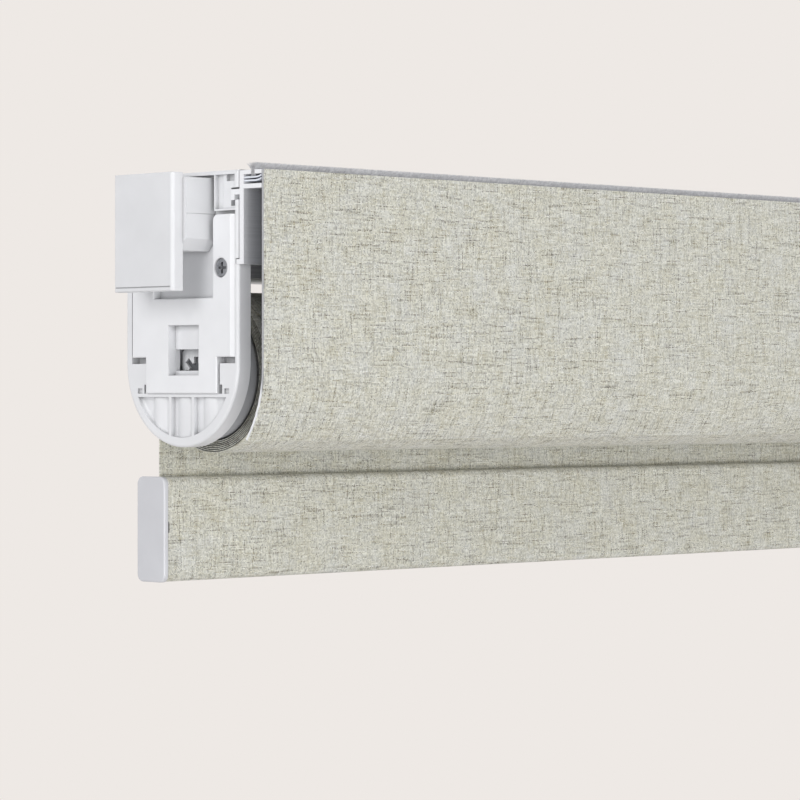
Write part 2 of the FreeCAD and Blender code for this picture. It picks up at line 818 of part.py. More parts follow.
def coil(inset, mean_radius, wire, pitch, turns):
    """Spring on the roller's axis: a wire swept on a helix drawn as pairs of arcs, a quarter turn each."""
    rise = pitch / (2 * math.pi)

    def place(angle):
        across = V(0, mean_radius * math.cos(angle), mean_radius * math.sin(angle))
        return V(left_end + inset + rise * angle, 0, axis_z) + across

    def heading(angle):
        return V(rise, -mean_radius * math.sin(angle), mean_radius * math.cos(angle)).normalize()

    def arc(start, direction, end):
        chord = end - start
        lean = direction.getAngle(chord)
        aside = (direction - chord * (direction.dot(chord) / chord.dot(chord))).normalize()
        crown = start + chord / 2 + aside * (chord.Length / 2 * math.tan(lean / 2))
        return Part.Arc(start, crown, end).toShape()

    edges = []
    for quarter in range(4 * turns):
        first, last = quarter * math.pi / 2, (quarter + 1) * math.pi / 2
        span = place(last) - place(first)
        both = heading(first) + heading(last)
        bend = 2 * (1 - heading(first).dot(heading(last)))
        reach = (math.sqrt(span.dot(both) ** 2 + bend * span.dot(span)) - span.dot(both)) / bend
        middle = (place(first) + place(last) + (heading(first) - heading(last)) * reach) / 2
        edges.append(arc(place(first), heading(first), middle))
        edges.append(arc(middle, (middle - place(first) - heading(first) * reach).normalize(), place(last)))
    ring = Part.Wire(Part.Circle(place(0.0), heading(0.0), wire / 2).toShape())
    return Part.Wire(edges).makePipeShell([ring], True, False)


def torsion_inset():
    """Where the torsion spring starts, just inside the plug."""
    return cloth_inset + spigot_length + torsion_wire / 2 + easy


def anchor_inset():
    """Where the anchor starts, just beyond the torsion spring."""
    return torsion_inset() + spring_turns * spring_pitch + torsion_wire / 2 + easy


def torsion_spring():
    """Torsion spring between the turning plug and the fixed anchor."""
    return coil(torsion_inset(), torsion_mean_radius, torsion_wire, spring_pitch, spring_turns)


def spring_anchor():
    """Disc keyed on the shaft that holds the still end of the torsion spring."""
    disc = rod(anchor_inset(), anchor_inset() + anchor_length, anchor_radius)
    return disc.cut(rod(0, fascia_length, spindle_radius + running))


def pin_end():
    """Inset of the inner end of the idle pin."""
    return bush_start + bush_length + pin_travel


def pin_bore_end():
    """Inset of the blind end of the bore behind the idle pin."""
    return pin_end() + pin_spring_turns * pin_spring_pitch + pin_wire + 2 * easy


def idle_pin():
    """Steel pin, drawn for the left end and mirrored, with a chamfered nose in the bracket's seat."""
    pin = rod(pin_inset, pin_end(), spindle_radius)
    return pin.makeChamfer(easy, edges_at(pin, pin_inset))


def pin_spring():
    """Spring that pushes the idle pin outwards."""
    mean_radius = spindle_radius - pin_wire
    return coil(pin_end() + pin_wire / 2 + easy, mean_radius, pin_wire, pin_spring_pitch, pin_spring_turns)


# Hem bar: hollow extrusion wrapped in cloth, a cap at each end, the hanging cloth held by a spline

def hem_box(inset, end, step):
    """Bar with the hem's outer shape, smaller by a step all round."""
    half = hem_width / 2 - step
    corner = max(hem_corner - step, 0.3)
    low, high = hanging_y - half, hanging_y + half
    return rounded_box(inset, end, low, high, hem_top - step, hem_bottom + step, corner)


def latch_window(inset):
    """Window for the cap's latch, in the room side of the hem bar, its wrap and the cap's plug."""
    front = hanging_y - hem_width / 2
    back = front + hem_cloth_step + cloth_thickness + 2 * hem_wall + 2 * snug
    top = hem_top - latch_place
    return slab(inset, inset + latch_width, front - 1, back, top, top - latch_height)


def hem_bar():
    """Aluminium hem bar with a round channel under a slot in its top."""
    start = hem_cap_inset + hem_cap_plate
    end = fascia_length - start
    step = hem_cloth_step + cloth_thickness
    channel_z = hem_top - step - hem_wall - hem_channel_radius
    outer = hem_box(start, end, step)
    hollow = hem_box(start - 1, end + 1, step + hem_wall)
    channel = rod(start, end, hem_channel_radius + hem_wall, hanging_y, channel_z)
    channel = channel.common(outer)
    bar = outer.cut(hollow).fuse(channel).removeSplitter()
    bar = bar.cut(rod(start - 1, end + 1, hem_channel_radius, hanging_y, channel_z))
    half = hem_mouth / 2
    bar = bar.cut(slab(start - 1, end + 1, hanging_y - half, hanging_y + half, channel_z, hem_top + 1))
    return bar.cut(latch_window(start)).cut(latch_window(end - latch_width))


def hem_cloth():
    """Cloth wrapped round the hem bar, open along the slot, notched at each end over the cap's latch."""
    start = hem_cap_inset + hem_cap_plate + snug
    end = fascia_length - start
    inside = hem_box(start - 1, end + 1, hem_cloth_step + cloth_thickness)
    wrap = hem_box(start, end, hem_cloth_step).cut(inside)
    half = hem_mouth / 2
    wrap = wrap.cut(slab(start - 1, end + 1, hanging_y - half, hanging_y + half, hem_top + 1, hem_top - 1))
    bar_start = start - snug
    return wrap.cut(latch_window(bar_start)).cut(latch_window(fascia_length - bar_start - latch_width))


def hem_spline():
    """Round spline that holds the cloth's lower edge in the hem bar's channel."""
    start = hem_cap_inset + hem_cap_plate + cap_spigot
    step = hem_cloth_step + cloth_thickness
    channel_z = hem_top - step - hem_wall - hem_channel_radius
    return rod(start + easy, fascia_length - start - easy, hem_spline_radius, hanging_y, channel_z)


def hem_cap():
    """Left moulded cap with a plug that goes into the hollow of the bar, under its channel."""
    end = hem_cap_inset + hem_cap_plate
    cap = hem_box(hem_cap_inset, end, 0.0)
    cap = cap.makeFillet(cap_round, edges_at(cap, hem_cap_inset))
    step = hem_cloth_step + cloth_thickness + hem_wall + snug
    half = hem_width / 2 - step
    top = hem_top - step - 2 * hem_channel_radius - 2 * hem_wall
    corner = hem_corner - step + 2 * snug
    bottom = hem_bottom + step
    plug = rounded_box(end - snug, end + cap_spigot, hanging_y - half, hanging_y + half, top, bottom, corner)
    wall = hem_wall
    low, high = hanging_y - half + wall, hanging_y + half - wall
    hollow = slab(end + wall, end + cap_spigot + 1, low, high, top - wall, bottom + wall)
    plug = plug.cut(hollow).cut(latch_window(end))
    return cap.fuse(plug).removeSplitter()


def hanging_cloth():
    """Flat cloth between the back of the roll and the slot of the hem bar."""
    step = hem_cloth_step + cloth_thickness
    low = hem_top - step - hem_wall
    half = cloth_thickness / 2
    inset = cloth_inset
    return slab(inset, fascia_length - inset, hanging_y - half, hanging_y + half, axis_z - easy, low)


# Every piece under the name of its node, the left one of each pair mirrored for the right
nodes = {
    "head_rail": head_rail(),
    "fascia_profile": fascia_profile(),
    "fascia_cloth": fascia_cloth(),
    "pile_backing": pile_backing(),
    "pile_strip": pile_strip(),
    "star_seat": spindle_seat(star(seat_front - 1.0, seat_back + 1.0, running)),
    "pin_seat": opposite(spindle_seat(rod(0, fascia_length, spindle_radius + running))),
    "spring_shaft": spring_shaft(),
    "spring_anchor": spring_anchor(),
    "roller_tube": roller_tube(),
    "cloth_spline": cloth_spline(),
    "fabric_roll": fabric_roll(),
    "winding_plug": tube_plug(fascia_length / 2),
    "idle_plug": opposite(tube_plug(pin_bore_end())),
    "winding_bush": plug_bush(),
    "idle_bush": opposite(plug_bush()),
    "torsion_spring": torsion_spring(),
    "idle_pin": opposite(idle_pin()),
    "pin_spring": opposite(pin_spring()),
    "hem_bar": hem_bar(),
    "hem_cloth": hem_cloth(),
    "hem_spline": hem_spline(),
    "hanging_cloth": hanging_cloth(),
}
paired = {
    "bracket": end_bracket(),
    "lock_plate": lock_plate(),
    "guide_sleeve": guide_sleeve(),
    "side_block": side_block(),
    "mount_plate": mount_plate(),
    "hem_cap": hem_cap(),
}
for name, shape in paired.items():
    nodes[name + "_left"] = shape
    nodes[name + "_right"] = opposite(shape)

screws = [rail_screw(y) for y in port_places]
nodes["rail_screws"] = Part.makeCompound(screws + [opposite(s) for s in screws])
nodes["lock_screws"] = Part.makeCompound([lock_screw(), opposite(lock_screw())])

os.makedirs("parts", exist_ok=True)
for name, shape in nodes.items():
    shape.exportStep(os.path.join("parts", name + ".step"))
    solids = shape.Solids
    print(name, len(solids), "solid", all(s.isValid() for s in solids), round(shape.Volume, 1), "mm3")
print("least gap between layers of the roll", round(least_roll_gap(), 3), "mm")
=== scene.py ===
import math

import bpy
import numpy as np
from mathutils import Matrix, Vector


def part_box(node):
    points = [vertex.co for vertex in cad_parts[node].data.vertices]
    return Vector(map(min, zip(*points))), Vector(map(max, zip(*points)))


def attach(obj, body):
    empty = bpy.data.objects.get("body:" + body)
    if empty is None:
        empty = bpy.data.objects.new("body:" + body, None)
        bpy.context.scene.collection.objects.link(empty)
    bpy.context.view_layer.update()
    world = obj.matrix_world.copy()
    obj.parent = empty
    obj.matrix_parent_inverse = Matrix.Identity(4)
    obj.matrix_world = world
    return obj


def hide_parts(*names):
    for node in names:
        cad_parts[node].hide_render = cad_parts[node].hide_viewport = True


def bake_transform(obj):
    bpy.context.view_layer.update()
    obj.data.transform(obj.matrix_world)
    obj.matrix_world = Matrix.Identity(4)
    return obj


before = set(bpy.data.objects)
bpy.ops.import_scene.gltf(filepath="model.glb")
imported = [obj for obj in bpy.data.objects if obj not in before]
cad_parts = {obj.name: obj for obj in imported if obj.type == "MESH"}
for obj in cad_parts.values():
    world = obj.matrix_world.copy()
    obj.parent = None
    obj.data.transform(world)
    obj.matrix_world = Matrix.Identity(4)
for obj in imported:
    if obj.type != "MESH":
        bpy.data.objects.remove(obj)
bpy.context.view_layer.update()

# View, light and floor
# The shade hangs in front of a plain warm-grey background, seen from the room and from its left end.
# A large soft lamp stands at its left end and one low in front of it, a weak one beside the lens and one
# high behind it. The studio walls fill in the rest, more from above than from below.

def shade_of(hex_colour):
    """Linear colour of an sRGB hex value."""
    parts = [int(hex_colour[i:i + 2], 16) / 255 for i in (1, 3, 5)]
    return (*[p / 12.92 if p <= 0.04045 else ((p + 0.055) / 1.055) ** 2.4 for p in parts], 1.0)


def add(tree, kind, inputs=None, **settings):
    """Adds a node to a material or world, sets it, and fills its inputs with values or links."""
    made = tree.nodes.new(kind)
    for name, value in settings.items():
        setattr(made, name, value)
    for key, value in (inputs or {}).items():
        if isinstance(value, bpy.types.NodeSocket):
            tree.links.new(value, made.inputs[key])
        else:
            made.inputs[key].default_value = value
    return made


def new_finish(name):
    """A material, its nodes, and the one of them that is its surface."""
    made = bpy.data.materials.new(name)
    made.use_nodes = True
    return made, made.node_tree, made.node_tree.nodes["Principled BSDF"]


def new_piece(name, points, faces, material):
    """A mesh in the scene, from points in metres."""
    mesh = bpy.data.meshes.new(name)
    mesh.from_pydata(points, [], faces)
    mesh.materials.append(material)
    piece = bpy.data.objects.new(name, mesh)
    scene.collection.objects.link(piece)
    return piece


scene = bpy.context.scene
scene.view_settings.view_transform = "Standard"

lens = bpy.data.cameras.new("lens")
lens.sensor_width = 36.0
lens.lens = 150.3
lens.shift_y = -0.0125
lens.clip_start = 0.05
lens.clip_end = 60.0
camera = bpy.data.objects.new("camera", lens)
camera.location = (-1.0430, -0.8471, -0.0730)
camera.rotation_euler = (math.pi / 2, 0.0, -math.pi / 4)
scene.collection.objects.link(camera)
scene.camera = camera

backdrop_grey = shade_of("#eee9e5")
walls_below, walls_above = 0.39, 0.52
world = bpy.data.worlds.new("studio")
scene.world = world
world.use_nodes = True
sky = world.node_tree
sky.nodes.clear()
rays = add(sky, "ShaderNodeLightPath")
seen = add(sky, "ShaderNodeMath", {0: rays.outputs["Is Camera Ray"], 1: rays.outputs["Is Glossy Ray"]},
           operation="MAXIMUM")
seen = add(sky, "ShaderNodeMath", {0: seen.outputs[0], 1: rays.outputs["Is Transmission Ray"]},
           operation="MAXIMUM")
backdrop = add(sky, "ShaderNodeBackground", {"Color": backdrop_grey, "Strength": 1.0})
way = add(sky, "ShaderNodeTexCoord").outputs["Generated"]
height = add(sky, "ShaderNodeSeparateXYZ", {0: way}).outputs["Z"]
walls = add(sky, "ShaderNodeMapRange", {"Value": height, "From Min": -1.0, "From Max": 1.0,
                                        "To Min": walls_below, "To Max": walls_above}).outputs["Result"]
fill = add(sky, "ShaderNodeBackground", {"Color": shade_of("#f6f7fa"), "Strength": walls})
either = add(sky, "ShaderNodeMixShader", {0: seen.outputs[0], 1: fill.outputs[0], 2: backdrop.outputs[0]})
add(sky, "ShaderNodeOutputWorld", {"Surface": either.outputs[0]})

lamp_white = shade_of("#fefdfd")[:3]
for name, place, aim, size, power in (
    ("left", (-3.0, -0.5, 0.8), (-0.1, 0.0, -0.08), 1.9, 42.0),
    ("front", (-0.1, -3.0, -0.40), (0.0, 0.0, -0.08), 2.4, 41.5),
    ("lens side", (-1.9, -2.0, -0.45), (-0.2, 0.0, -0.08), 0.4, 14.0),
    ("back", (1.5, 1.6, 2.6), (0.0, 0.0, -0.08), 2.8, 28.0),
):
    lamp = bpy.data.lights.new(name, "AREA")
    lamp.shape = "SQUARE"
    lamp.size = size
    lamp.energy = power
    lamp.color = lamp_white
    holder = bpy.data.objects.new(name, lamp)
    holder.location = place
    away = np.array(place) - np.array(aim)
    tilt = math.acos(away[2] / np.linalg.norm(away))
    holder.rotation_euler = (tilt, 0.0, math.atan2(away[0], -away[1]))
    scene.collection.objects.link(holder)

# Matt paper takes a soft shadow and shows no gloss
paper, tree, skin = new_finish("matt background paper")
skin.inputs["Base Color"].default_value = backdrop_grey
skin.inputs["Roughness"].default_value = 0.9
reach, floor_height = 1.4, -2.2
corners = [(x * reach, y * reach, floor_height) for x, y in ((-1, -1), (1, -1), (1, 1), (-1, 1))]
floor = new_piece("floor", corners, [(0, 1, 2, 3)], paper)


# End brackets, lock plates and sleeves
# White ABS mouldings. The bracket is a U with a rim round a recessed web, the lock plate snaps onto that web,
# and the sleeve guides the block of the side mount inside the rail. All have a satin, faintly grained face.

MM = 0.001


def dress(material, *names):
    """Gives solid nodes a finish in place of the plain one that they came with."""
    for name in names:
        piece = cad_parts[name]
        if not piece.material_slots:
            piece.data.materials.append(material)
        for place in piece.material_slots:
            place.material = material


def moulding(name, colour, roughness, edge):
    """Moulded plastic: spark-eroded grain that breaks up the gloss, a slow change of shade, edges rounded by
    the mould to a radius in mm, and painted shade that darkens its slots and corners."""
    # Here and in the sections below, a pattern's size is in mm and was given, not measured.
    # Real grain is finer and wouldn't show, so it is drawn as coarse as this.
    flow_size, grain_size, shade_reach = 18.18, 0.1923, 2.8
    darker, lighter = 0.955, 1.02
    made, tree, skin = new_finish(name)
    where = add(tree, "ShaderNodeTexCoord").outputs["Object"]
    flow = add(tree, "ShaderNodeTexNoise", {"Vector": where, "Scale": 1 / (flow_size * MM), "Detail": 3.0,
                                            "Roughness": 0.55})
    base = shade_of(colour)
    tint = add(tree, "ShaderNodeValToRGB", {"Fac": flow.outputs["Fac"]})
    tint.color_ramp.elements[0].position = 0.3
    tint.color_ramp.elements[0].color = (*[darker * c for c in base[:3]], 1.0)
    tint.color_ramp.elements[1].position = 0.7
    tint.color_ramp.elements[1].color = (*[min(lighter * c, 1.0) for c in base[:3]], 1.0)
    # Painted shade: the colour darkens where other faces lie within a few mm, in slots, recesses and corners
    open_air = add(tree, "ShaderNodeAmbientOcclusion", {"Distance": shade_reach * MM}, samples=6)
    corner_shade = add(tree, "ShaderNodeMapRange", {"Value": open_air.outputs["AO"], "From Min": 0.10,
                                            "From Max": 0.80, "To Min": 0.44, "To Max": 1.0})
    shaded_tint = add(tree, "ShaderNodeMix", {"Factor": 1.0, 6: tint.outputs["Color"], 7: corner_shade.outputs["Result"]},
                  data_type="RGBA", blend_type="MULTIPLY")
    tree.links.new(shaded_tint.outputs[2], skin.inputs["Base Color"])
    grain = add(tree, "ShaderNodeTexNoise", {"Vector": where, "Scale": 1 / (grain_size * MM), "Detail": 2.0})
    gloss = add(tree, "ShaderNodeMapRange", {"Value": grain.outputs["Fac"], "From Min": 0.3, "From Max": 0.7,
                                             "To Min": roughness - 0.05, "To Max": roughness + 0.07})
    tree.links.new(gloss.outputs["Result"], skin.inputs["Roughness"])
    soft_edge = add(tree, "ShaderNodeBevel", {"Radius": edge * MM}, samples=4)
    relief = add(tree, "ShaderNodeBump", {"Height": grain.outputs["Fac"], "Strength": 0.12,
                                          "Distance": 0.04 * MM, "Normal": soft_edge.outputs["Normal"]})
    tree.links.new(relief.outputs["Normal"], skin.inputs["Normal"])
    skin.inputs["IOR"].default_value = 1.53
    skin.inputs["Specular IOR Level"].default_value = 0.45
    return made


white_abs = moulding("white satin ABS", "#e3e4e6", 0.42, 0.25)
dress(white_abs, "bracket_left", "bracket_right", "guide_sleeve_left", "guide_sleeve_right")
plate_abs = moulding("white satin ABS, lock plate", "#e9eaec", 0.42, 0.25)
dress(plate_abs, "lock_plate_left", "lock_plate_right")


# Side mounts
# A square plate that presses against the side of the recess, on a block that slides out of the bracket.
# Moulded in one from a slightly greyer white ABS, so both pieces share a finish.

grey_white_abs = moulding("pale grey satin ABS", "#dddee0", 0.4, 0.3)
dress(grey_white_abs, "side_block_left", "side_block_right", "mount_plate_left", "mount_plate_right")


# Fascia section
# Extruded aluminium, powder coated white, which gives a fine orange-peel skin. The powder reaches only a few
# millimetres into the ends of the hollow, so the drawn metal shows further in, dull grey with fine lines. It
# is drawn more fully the deeper it lies, which also paints the shade inside the hollow. The ends of the thin
# front skin are drawn mid grey.

half_length = 300.0
peel_size = 0.7143
powder_depth = 5.5
hollow_room = {"X": (0.05 - half_length, half_length - 0.05), "Y": (-40.2, -30.9), "Z": (-31.7, -6.3)}
skin_front, skin_back = -41.0, -39.8
# Real die lines are finer and wouldn't show, so they are drawn this far apart
line_length, line_gap = 83.33, 0.3125

powder, tree, skin = new_finish("white powder coat on aluminium")
where = add(tree, "ShaderNodeTexCoord").outputs["Object"]
peel = add(tree, "ShaderNodeTexNoise", {"Vector": where, "Scale": 1 / (peel_size * MM), "Detail": 3.0,
                                        "Roughness": 0.6})
mottle = add(tree, "ShaderNodeValToRGB", {"Fac": peel.outputs["Fac"]})
mottle.color_ramp.elements[0].position = 0.3
mottle.color_ramp.elements[0].color = shade_of("#e6e7e9")
mottle.color_ramp.elements[1].position = 0.7
mottle.color_ramp.elements[1].color = shade_of("#eeeff1")
place = add(tree, "ShaderNodeSeparateXYZ", {0: where})
depth = add(tree, "ShaderNodeMath", {0: place.outputs["X"]}, operation="ABSOLUTE").outputs[0]
# Bare metal and painted shade: the inside turns to the darker bare grey the deeper it lies
hollow = add(tree, "ShaderNodeMapRange", {"Value": depth, "From Min": half_length * MM,
                                          "From Max": (half_length - powder_depth) * MM,
                                          "To Min": 0.35, "To Max": 1.0}).outputs["Result"]
for axis, (start, end) in hollow_room.items():
    inside = add(tree, "ShaderNodeMath", {0: place.outputs[axis], 1: (start + end) / 2 * MM,
                                          2: (end - start) / 2 * MM}, operation="COMPARE").outputs[0]
    hollow = add(tree, "ShaderNodeMath", {0: inside, 1: hollow}, operation="MULTIPLY").outputs[0]
die_lines = (1 / (line_length * MM), 1 / (line_gap * MM), 1 / (line_gap * MM))
drawn = add(tree, "ShaderNodeMapping", {"Vector": where, "Scale": die_lines})
lines = add(tree, "ShaderNodeTexNoise", {"Vector": drawn.outputs[0], "Scale": 1.0, "Detail": 2.0})
bare = add(tree, "ShaderNodeValToRGB", {"Fac": lines.outputs["Fac"]})
bare.color_ramp.elements[0].color = shade_of("#a0a2a6")
bare.color_ramp.elements[1].color = shade_of("#bcbec2")
# The ends of the thin front skin are drawn mid grey
in_skin = add(tree, "ShaderNodeMath", {0: place.outputs["Y"], 1: (skin_front + skin_back) / 2 * MM,
                                       2: (skin_back - skin_front) / 2 * MM}, operation="COMPARE").outputs[0]
grey_skin_end = add(tree, "ShaderNodeMix", {"Factor": in_skin, 6: mottle.outputs["Color"], 7: shade_of("#adaeb0")},
            data_type="RGBA")
coat = add(tree, "ShaderNodeMix", {"Factor": hollow, 6: grey_skin_end.outputs[2], 7: bare.outputs["Color"]},
           data_type="RGBA")
tree.links.new(coat.outputs[2], skin.inputs["Base Color"])
metal = add(tree, "ShaderNodeMath", {0: hollow, 1: 0.3}, operation="MULTIPLY")
tree.links.new(metal.outputs[0], skin.inputs["Metallic"])
soft_edge = add(tree, "ShaderNodeBevel", {"Radius": 0.15 * MM}, samples=4)
relief = add(tree, "ShaderNodeBump", {"Height": peel.outputs["Fac"], "Strength": 0.15, "Distance": 0.08 * MM,
                                      "Normal": soft_edge.outputs["Normal"]})
tree.links.new(relief.outputs["Normal"], skin.inputs["Normal"])
skin.inputs["Roughness"].default_value = 0.38
dress(powder, "fascia_profile")


# Cloth on the fascia
# The shade's own linen-look polyester, bonded to the whole front of the section with its edges cut flush.
# A plain weave of uneven slub yarns: cream and grey-white threads with ochre and brown flecks both ways.

def woven_linen(name, follows_cloth):
    """Slub plain weave, laid out by the cloth's own lengths or, where it hangs, by its place. Sizes in mm."""
    thread = 0.42
    wander_length, wander_threads = 16.67, 2.0
    shade_length, slub_share, field_length = 7.143, 0.05, 14.29
    next_yarn, brick_shift = 7.31, 0.37
    made, tree, skin = new_finish(name)
    if follows_cloth:
        spot = add(tree, "ShaderNodeUVMap", uv_map="cut").outputs["UV"]
        parts = add(tree, "ShaderNodeSeparateXYZ", {0: spot})
        across, down = parts.outputs["X"], parts.outputs["Y"]
    else:
        spot = add(tree, "ShaderNodeTexCoord").outputs["Object"]
        parts = add(tree, "ShaderNodeSeparateXYZ", {0: spot})
        across, down = parts.outputs["X"], parts.outputs["Z"]
    along = add(tree, "ShaderNodeMath", {0: across, 1: 1 / MM}, operation="MULTIPLY").outputs[0]
    fall = add(tree, "ShaderNodeMath", {0: down, 1: -1 / MM}, operation="MULTIPLY").outputs[0]
    plane = add(tree, "ShaderNodeCombineXYZ", {"X": along, "Y": fall}).outputs[0]

    # Yarns never lie quite straight: both counts drift by up to a thread or so
    drift = add(tree, "ShaderNodeTexNoise", {"Vector": plane, "Scale": 1 / wander_length, "Detail": 1.0})
    lean = add(tree, "ShaderNodeSeparateXYZ", {0: drift.outputs["Color"]})
    threads = []
    for length, side in ((along, "X"), (fall, "Y")):
        even = add(tree, "ShaderNodeMath", {0: length, 1: 1 / thread}, operation="MULTIPLY").outputs[0]
        threads.append(add(tree, "ShaderNodeMath", {0: lean.outputs[side], 1: wander_threads, 2: even},
                           operation="MULTIPLY_ADD").outputs[0])
    warp, weft = threads
    warp_count = add(tree, "ShaderNodeMath", {0: warp}, operation="FLOOR").outputs[0]
    weft_count = add(tree, "ShaderNodeMath", {0: weft}, operation="FLOOR").outputs[0]

    # Each yarn is spun unevenly: its shade changes every few millimetres, and dotted dark slubs lie in it
    at = add(tree, "ShaderNodeCombineXYZ", {"X": warp_count, "Y": weft_count}).outputs[0]
    speck = add(tree, "ShaderNodeTexWhiteNoise", {"Vector": at}, noise_dimensions="2D").outputs["Value"]
    yarns = []
    for count, length, crossed, slub_threads, kind in (
        (warp_count, fall, weft, 13.0, 3.0),
        (weft_count, along, warp, 17.0, 9.0),
    ):
        place = add(tree, "ShaderNodeMath", {0: count, 1: next_yarn}, operation="MULTIPLY").outputs[0]
        run = add(tree, "ShaderNodeMath", {0: length, 1: 1 / shade_length}, operation="MULTIPLY").outputs[0]
        at = add(tree, "ShaderNodeCombineXYZ", {"X": place, "Y": run, "Z": kind}).outputs[0]
        spin = add(tree, "ShaderNodeTexNoise", {"Vector": at, "Scale": 1.0, "Detail": 2.0, "Roughness": 0.6})
        yarn = add(tree, "ShaderNodeValToRGB", {"Fac": spin.outputs["Fac"]})
        ramp = yarn.color_ramp
        ramp.elements[0].position = 0.22
        ramp.elements[0].color = shade_of("#8c8268")
        ramp.elements[1].position = 0.76
        ramp.elements[1].color = shade_of("#f2f3ef")
        for position, colour in ((0.31, "#b1a98f"), (0.39, "#cdcbb9"), (0.47, "#dad9cc"), (0.6, "#e3e3d9")):
            ramp.elements.new(position).color = shade_of(colour)
        share = add(tree, "ShaderNodeMath", {0: crossed, 1: 1 / slub_threads},
                    operation="MULTIPLY").outputs[0]
        share = add(tree, "ShaderNodeMath", {0: count, 1: brick_shift, 2: share},
                    operation="MULTIPLY_ADD").outputs[0]
        bit = add(tree, "ShaderNodeMath", {0: share}, operation="FLOOR").outputs[0]
        at = add(tree, "ShaderNodeCombineXYZ", {"X": count, "Y": bit, "Z": kind}).outputs[0]
        chance = add(tree, "ShaderNodeTexWhiteNoise", {"Vector": at}, noise_dimensions="3D").outputs["Value"]
        lift = add(tree, "ShaderNodeMapRange", {"Value": chance, "To Min": 0.90, "To Max": 1.04})
        lifted = {"Factor": 1.0, 6: yarn.outputs["Color"], 7: lift.outputs["Result"]}
        yarn = add(tree, "ShaderNodeMix", lifted, data_type="RGBA", blend_type="MULTIPLY").outputs[2]
        slub = add(tree, "ShaderNodeMath", {0: chance, 1: slub_share}, operation="LESS_THAN").outputs[0]
        dots = add(tree, "ShaderNodeMapRange", {"Value": speck, "To Min": 0.95, "To Max": 0.22})
        slub = add(tree, "ShaderNodeMath", {0: slub, 1: dots.outputs["Result"]},
                   operation="MULTIPLY").outputs[0]
        yarns.append(add(tree, "ShaderNodeMix", {"Factor": slub, 6: yarn, 7: shade_of("#55492f")},
                         data_type="RGBA").outputs[2])

    # Over one and under one: the yarn on top changes from crossing to crossing, and the other shows beside it
    crossing = add(tree, "ShaderNodeMath", {0: warp_count, 1: weft_count}, operation="ADD").outputs[0]
    over = add(tree, "ShaderNodeMath", {0: crossing, 1: 2.0}, operation="FLOORED_MODULO").outputs[0]
    mostly = add(tree, "ShaderNodeMapRange", {"Value": over, "To Min": 0.28, "To Max": 0.78})
    cloth = add(tree, "ShaderNodeMix", {"Factor": mostly.outputs["Result"], 6: yarns[0], 7: yarns[1]},
                data_type="RGBA").outputs[2]
    uneven = add(tree, "ShaderNodeMath", {0: speck, 1: 0.42}, operation="POWER").outputs[0]
    grain = add(tree, "ShaderNodeMapRange", {"Value": uneven, "To Min": 0.44, "To Max": 1.13})

    # Paler and warmer fields, some thirty threads wide
    field = add(tree, "ShaderNodeTexNoise", {"Vector": plane, "Scale": 1 / field_length, "Detail": 4.0,
                                             "Roughness": 0.65})
    pale = add(tree, "ShaderNodeMapRange", {"Value": field.outputs["Fac"], "From Min": 0.48, "From Max": 0.68,
                                            "To Min": 0.0, "To Max": 0.22}).outputs["Result"]
    warm = add(tree, "ShaderNodeMapRange", {"Value": field.outputs["Fac"], "From Min": 0.5, "From Max": 0.3,
                                            "To Min": 0.0, "To Max": 0.14}).outputs["Result"]

    # Round yarns, with painted shade in the gaps between them
    rounds = []
    for number in (warp, weft):
        turn = add(tree, "ShaderNodeMath", {0: number, 1: math.pi}, operation="MULTIPLY").outputs[0]
        wave = add(tree, "ShaderNodeMath", {0: turn}, operation="SINE").outputs[0]
        rounds.append(add(tree, "ShaderNodeMath", {0: wave}, operation="ABSOLUTE").outputs[0])
    swell = add(tree, "ShaderNodeMath", {0: rounds[0], 1: rounds[1]}, operation="MULTIPLY").outputs[0]
    yarn_gap_shade = add(tree, "ShaderNodeMapRange", {"Value": swell, "From Min": 0.0, "From Max": 0.45,
                                            "To Min": 0.72, "To Max": 1.0}).outputs["Result"]
    for share, layer, laid_on in (
        (1.0, grain.outputs["Result"], "MULTIPLY"),
        (pale, shade_of("#dadde0"), "MIX"),
        (warm, shade_of("#cfc6a4"), "MIX"),
        (1.0, yarn_gap_shade, "MULTIPLY"),
    ):
        cloth = add(tree, "ShaderNodeMix", {"Factor": share, 6: cloth, 7: layer}, data_type="RGBA",
                    blend_type=laid_on).outputs[2]
    tree.links.new(cloth, skin.inputs["Base Color"])
    relief = add(tree, "ShaderNodeBump", {"Height": swell, "Strength": 0.5, "Distance": 0.12 * MM})
    tree.links.new(relief.outputs["Normal"], skin.inputs["Normal"])
    skin.inputs["Roughness"].default_value = 0.88
    skin.inputs["Specular IOR Level"].default_value = 0.25
    skin.inputs["Sheen Weight"].default_value = 0.12
    skin.inputs["Sheen Roughness"].default_value = 0.5
    return made


